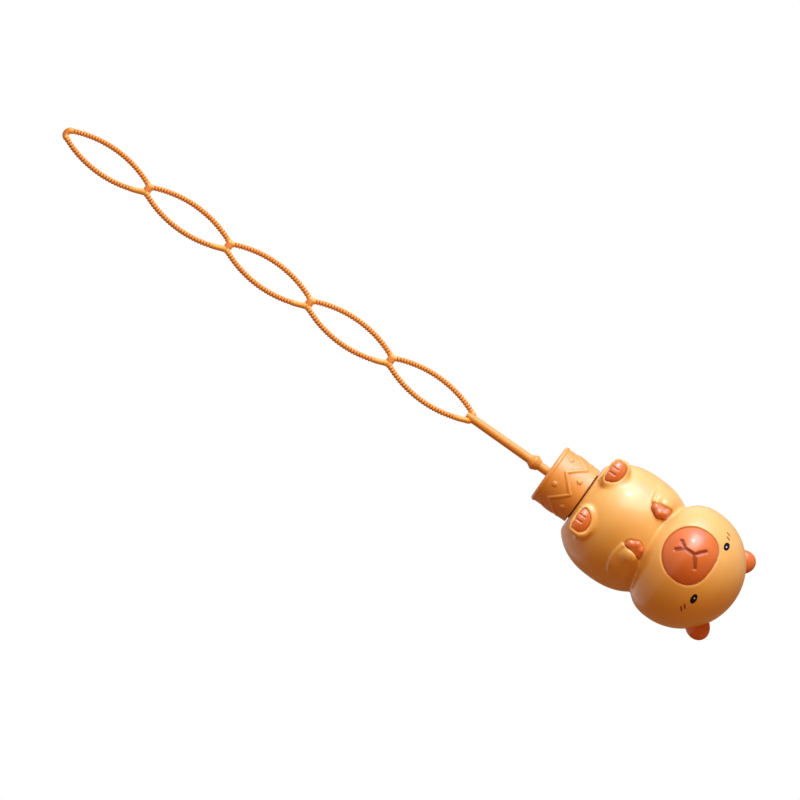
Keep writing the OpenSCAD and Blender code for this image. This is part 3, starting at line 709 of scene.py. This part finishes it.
def addWand():
    form = wandForm
    half = form["pitch"] / 2 + form["overlap"] / 2
    side, end = form["width"] / 2, form["endRadius"]
    big = (half ** 2 + side ** 2 - 2 * half * end) / (2 * (side - end))
    lean = math.atan((half - end) / (big - side))
    longRun, shortRun = 2 * lean * big, (math.pi - 2 * lean) * end
    total = 2 * (longRun + shortRun)
    # oval of two wide and two tight arcs, walked by length; the rim swells into a rib at each step
    walk = np.linspace(0, total, form["ribs"] * form["perRib"], endpoint=False)
    second = np.where(walk >= total / 2, 1.0, 0.0)
    local = walk - second * total / 2
    onSide = local < longRun
    angle = np.where(onSide, local / big - lean, lean + (local - longRun) / end) + math.pi * second
    flip = 1 - 2 * second
    x = np.where(onSide, flip * (side - big) + big * np.cos(angle), end * np.cos(angle))
    z = np.where(onSide, big * np.sin(angle), flip * (half - end) + end * np.sin(angle))
    toEnd = np.abs(np.abs(z) - half)
    ribbed = easeStep(0.9, 2.2, toEnd)
    swell = (0.5 + 0.5 * np.cos(2 * np.pi * walk / total * form["ribs"])) ** 0.6
    before, after = form["plain"]
    plain = (1 - second) * onSide * easeStep(half - before, half - after, z)  # one side ends with faint ribs
    swell = np.maximum(swell, form["plainSwell"] * plain)
    rib = form["ribLow"] + (form["ribHigh"] - form["ribLow"]) * swell
    thick = form["endThick"] + ribbed * (rib - form["endThick"])
    # painted shade in the rib valleys and where each loop's end meets the next
    shade = np.maximum(ribbed * (1 - swell), form["endPaintedShade"] * (1 - easeStep(0.1, 0.9, toEnd)))
    around = np.linspace(0, 2 * np.pi, form["around"], endpoint=False)[None, :]
    reach = thick[:, None] * np.cos(around)
    ring = np.stack([x[:, None] + reach * np.cos(angle)[:, None], thick[:, None] * np.sin(around),
                     z[:, None] + reach * np.sin(angle)[:, None]], -1)
    parts = []
    for i in range(form["loops"]):
        middle = np.array([0, 0, form["start"] - (i + 0.5) * form["pitch"]])
        parts.append(gridPart(ring + middle, middle, wrapColumns=True, wrapRows=True, paintedShadeAndTint=shade[:, None]))
    stem = np.array(form["stem"])
    steps = np.concatenate([np.linspace(i, i + 1, 5)[:-1] for i in range(len(stem) - 1)] + [[len(stem) - 1]])
    radius, height = (np.interp(steps, range(len(stem)), stem[:, axis])[:, None] for axis in (0, 1))
    turn = np.linspace(0, 2 * np.pi, form["stemAround"], endpoint=False)
    points = np.stack([radius * np.cos(turn), radius * np.sin(turn), height + 0 * turn], -1)
    # the stem gets an even, deeper tone through the same mark
    parts.append(gridPart(points, (0, 0, -10), wrapColumns=True, poles=(True, True), paintedShadeAndTint=form["stemDeep"]))
    makePiece("wand_loops", parts, "wand_set", wandPlastic, ("wand",))


addWand()
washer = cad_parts["seal_washer"]
washer.data.materials.clear()
washer.data.materials.append(sealRubber)
print("wand ready")


stageForm = {
    "floor": -0.2225, "floorHalf": 1.2, "world": 0.26, "worldColour": (1.0, 0.37, 0.08, 1), "shine": 0.1,
    "aim": (0, 0, 0.045),
    # direction, distance, size, power, colour, seen by matt and by glossy surfaces
    "lights": {
        "keyLight": ((-0.69, -0.64, -0.33), 0.62, 0.62, 7.3, (1, 0.98, 0.93), True, True),
        "coolLight": ((-0.93, -0.3, -0.2), 0.62, 0.42, 10.0, (0.06, 0.2, 1), True, False),
        "sparkLight": ((-0.72, -0.6, -0.32), 0.62, 0.07, 1.1, (1, 1, 1), False, True),
        "fillLight": ((0.1, -0.5, 0.86), 0.7, 0.5, 0.6, (1, 0.6, 0.3), True, False),
        "lowFillLight": ((0.25, -0.85, -0.45), 0.7, 0.5, 1.0, (1, 0.62, 0.28), True, False),
        "backFillLight": ((-0.1, 0.95, 0.3), 0.7, 0.5, 2.2, (1, 0.88, 0.7), True, False)},
}
viewForm = {"azimuth": 11.5, "elevation": 3.0, "distance": 1.3, "perMm": 2.7, "seam": (582.54, 496.27),
            "up": (0.817, 0.5764), "seamHeight": 0.0155, "picture": 800, "sensor": 36}

scene = bpy.context.scene
scene.view_settings.view_transform = "Standard"
world = bpy.data.worlds.new("paleRoom")
scene.world = world
world.use_nodes = True
world.cycles.sampling_method = "NONE"
nodes, links = world.node_tree.nodes, world.node_tree.links
room = nodes["Background"]
room.inputs["Color"].default_value = stageForm["worldColour"]
room.inputs["Strength"].default_value = stageForm["world"]
pale = addNode(world.node_tree, "ShaderNodeBackground", Color=(1, 1, 1, 1), Strength=1.0)
path = addNode(world.node_tree, "ShaderNodeLightPath")
seen = addNode(world.node_tree, "ShaderNodeMath", {"operation": "MAXIMUM"})
mirrored = addNode(world.node_tree, "ShaderNodeMath", {"operation": "MULTIPLY"})
mirrored.inputs[1].default_value = stageForm["shine"]
blend = addNode(world.node_tree, "ShaderNodeMixShader")
links.new(path.outputs["Is Glossy Ray"], mirrored.inputs[0])
links.new(path.outputs["Is Camera Ray"], seen.inputs[0])
links.new(mirrored.outputs[0], seen.inputs[1])
links.new(seen.outputs[0], blend.inputs["Fac"])
links.new(room.outputs[0], blend.inputs[1])
links.new(pale.outputs[0], blend.inputs[2])
links.new(blend.outputs[0], nodes["World Output"].inputs["Surface"])

half = stageForm["floorHalf"]
corners = [(-half, -half), (half, -half), (half, half), (-half, half)]
floorMesh = bpy.data.meshes.new("floor")
floorMesh.from_pydata([(*corner, stageForm["floor"]) for corner in corners], [], [(0, 1, 2, 3)])
floor = bpy.data.objects.new("floor", floorMesh)
scene.collection.objects.link(floor)
floorPaint = bpy.data.materials.new("palePaper")
floorPaint.use_nodes = True
paper = floorPaint.node_tree.nodes["Principled BSDF"]
paper.inputs["Base Color"].default_value = (0.03, 0.03, 0.03, 1)
paper.inputs["Roughness"].default_value = 0.9
paper.inputs["Emission Color"].default_value = (1, 1, 1, 1)
paper.inputs["Emission Strength"].default_value = 1.0
floorPaint.cycles.emission_sampling = "NONE"
floorMesh.materials.append(floorPaint)
floor.visible_diffuse = False


for name, (way, far, size, power, colour, diffuse, glossy) in stageForm["lights"].items():
    lamp = bpy.data.lights.new(name, "AREA")
    lamp.shape, lamp.size, lamp.energy, lamp.color = "DISK", size, power, colour
    holder = bpy.data.objects.new(name, lamp)
    scene.collection.objects.link(holder)
    way = Vector(way).normalized()
    holder.location = Vector(stageForm["aim"]) + way * far
    holder.rotation_euler = way.to_track_quat("Z", "Y").to_euler()
    holder.visible_diffuse, holder.visible_glossy = diffuse, glossy
print("stage ready")

turn, lift = math.radians(viewForm["azimuth"]), math.radians(viewForm["elevation"])
back = Vector((math.sin(turn) * math.cos(lift), -math.cos(turn) * math.cos(lift), math.sin(lift)))
along = (Vector((0, 0, 1)) - back * back.z).normalized()  # the figure's up as the picture shows it
across = along.cross(back)
ux, uy = viewForm["up"]
right, top = along * ux - across * uy, -along * uy - across * ux
perMetre = viewForm["perMm"] * 1000
dx, dy = ((viewForm["picture"] / 2 - place) / perMetre for place in viewForm["seam"])
target = Vector((0, 0, viewForm["seamHeight"])) + right * dx - top * dy
camera = bpy.data.objects.new("camera", bpy.data.cameras.new("camera"))
scene.collection.objects.link(camera)
camera.data.sensor_width = viewForm["sensor"]
camera.data.lens = viewForm["sensor"] * viewForm["distance"] * perMetre / viewForm["picture"]
camera.matrix_world = Matrix((right, top, back)).transposed().to_4x4()
camera.matrix_world.translation = target + back * viewForm["distance"]
camera.data.clip_start, camera.data.clip_end = 0.05, 20
scene.camera = camera
